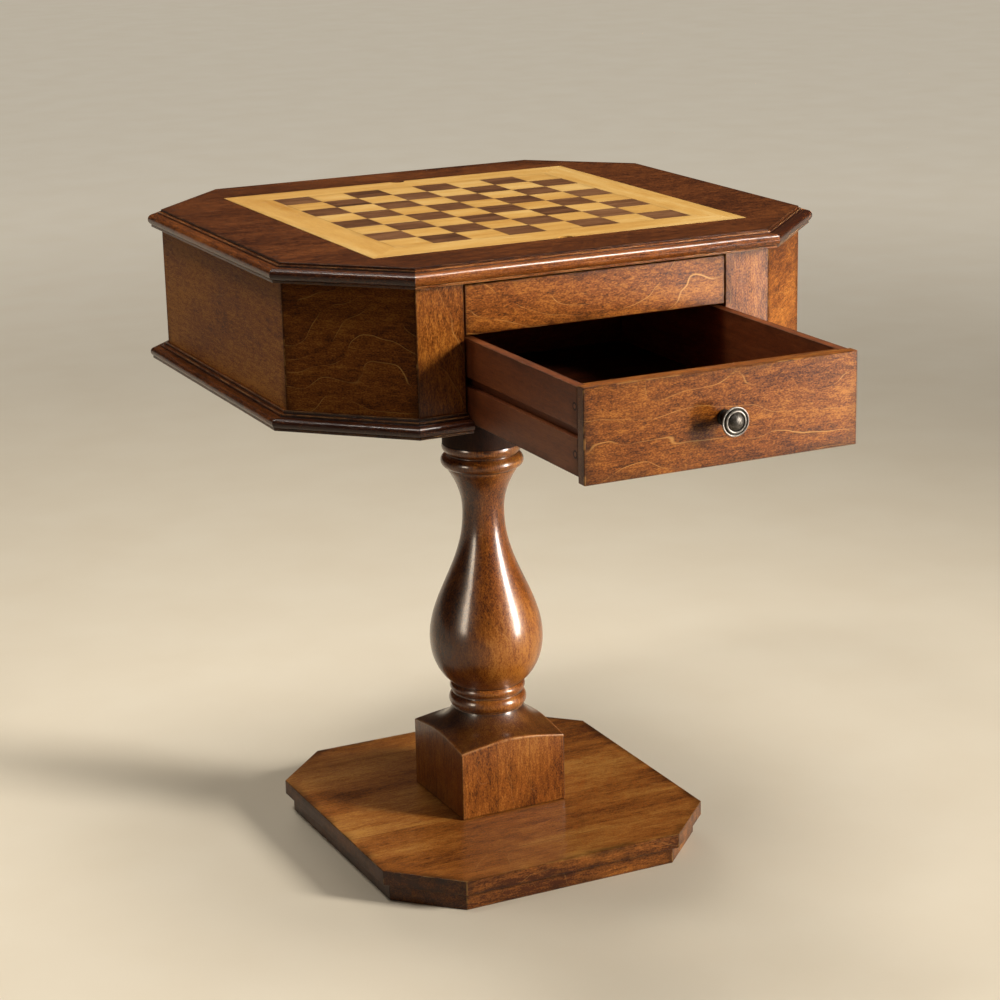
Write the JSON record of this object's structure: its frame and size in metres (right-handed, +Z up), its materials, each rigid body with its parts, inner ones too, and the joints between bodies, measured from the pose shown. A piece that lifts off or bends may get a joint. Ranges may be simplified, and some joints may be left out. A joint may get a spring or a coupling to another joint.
{
  "type": "pedestal chess table",
  "caption": "Pedestal chess table: clipped-corner case, lift-out chequered board over a lined well, sliding drawer with a round knob, turned baluster pedestal and stepped base.",
  "frame": {"origin": "on the floor, under the axis of the pedestal, at the middle of the plinth's underside", "axes": "+Z up, -Y out of the drawer front, +X to the right of someone who faces the drawer"},
  "size_m": [0.67, 0.897, 0.762],
  "materials": {
    "case_wood": "cherry stain, satin, dark glaze in the corners",
    "top_wood": "dark mahogany stain, satin",
    "moulding_wood": "dark mahogany stain, worn edges",
    "pedestal_wood": "cherry stain, gloss",
    "base_wood": "cherry stain, satin, dark glaze",
    "drawer_wood": "red-brown stain, matt",
    "inner_wood": "stained plywood, matt",
    "plain_wood": "bare hardwood",
    "maple": "amber lacquer, gloss",
    "walnut": "walnut inlay, gloss",
    "felt": "green felt",
    "steel": "zinc plated",
    "pewter": "antique pewter"
  },
  "bodies": {
    "case": {"base_plinth": "base_wood", "base_plate": "base_wood", "base_bolts": "steel", "base_washers": "steel", "pedestal": "pedestal_wood", "support_board": "inner_wood", "pedestal_screws": "steel", "support_screws": "steel", "case_bottom": "inner_wood", "side_panel_left": "case_wood", "side_panel_right": "case_wood", "back_panel": "case_wood", "corner_panel_front_left": "case_wood", "corner_panel_front_right": "case_wood", "corner_panel_back_left": "case_wood", "corner_panel_back_right": "case_wood", "stile_left": "case_wood", "stile_right": "case_wood", "false_front": "case_wood", "partition_left": "inner_wood", "partition_right": "inner_wood", "glue_blocks": "plain_wood", "runner_left": "plain_wood", "runner_right": "plain_wood", "runner_screws": "steel", "drawer_front_stop": "plain_wood", "drawer_back_stops": "plain_wood", "well_floor": "inner_wood", "well_wall_front": "inner_wood", "well_wall_back": "inner_wood", "well_wall_left": "inner_wood", "well_wall_right": "inner_wood", "well_felt": "felt", "top_panel": "top_wood", "top_moulding_front": "moulding_wood", "top_moulding_right": "moulding_wood", "top_moulding_back": "moulding_wood", "top_moulding_left": "moulding_wood", "top_moulding_corners": "moulding_wood", "bottom_moulding_front_left": "moulding_wood", "bottom_moulding_front_right": "moulding_wood", "bottom_moulding_right": "moulding_wood", "bottom_moulding_back": "moulding_wood", "bottom_moulding_left": "moulding_wood", "bottom_moulding_corners": "moulding_wood"},
    "drawer": {"drawer_front": "case_wood", "drawer_side_left": "drawer_wood", "drawer_side_right": "drawer_wood", "drawer_back": "drawer_wood", "drawer_bottom": "drawer_wood", "drawer_plugs": "drawer_wood", "drawer_screws": "steel", "knob": "pewter", "knob_screw": "steel"},
    "board": {"board_core": "maple", "board_border": "maple", "light_squares": "maple", "dark_squares": "walnut"}
  },
  "joints": [
    {"name": "drawer_slide", "type": "slide", "parent": "case", "child": "drawer", "axis": [0, -1, 0], "range_m": [-0.258, 0.062]},
    {"name": "board_lift", "type": "slide", "parent": "case", "child": "board", "axis": [0, 0, 1], "range_m": [0, 0.12]}
  ]
}
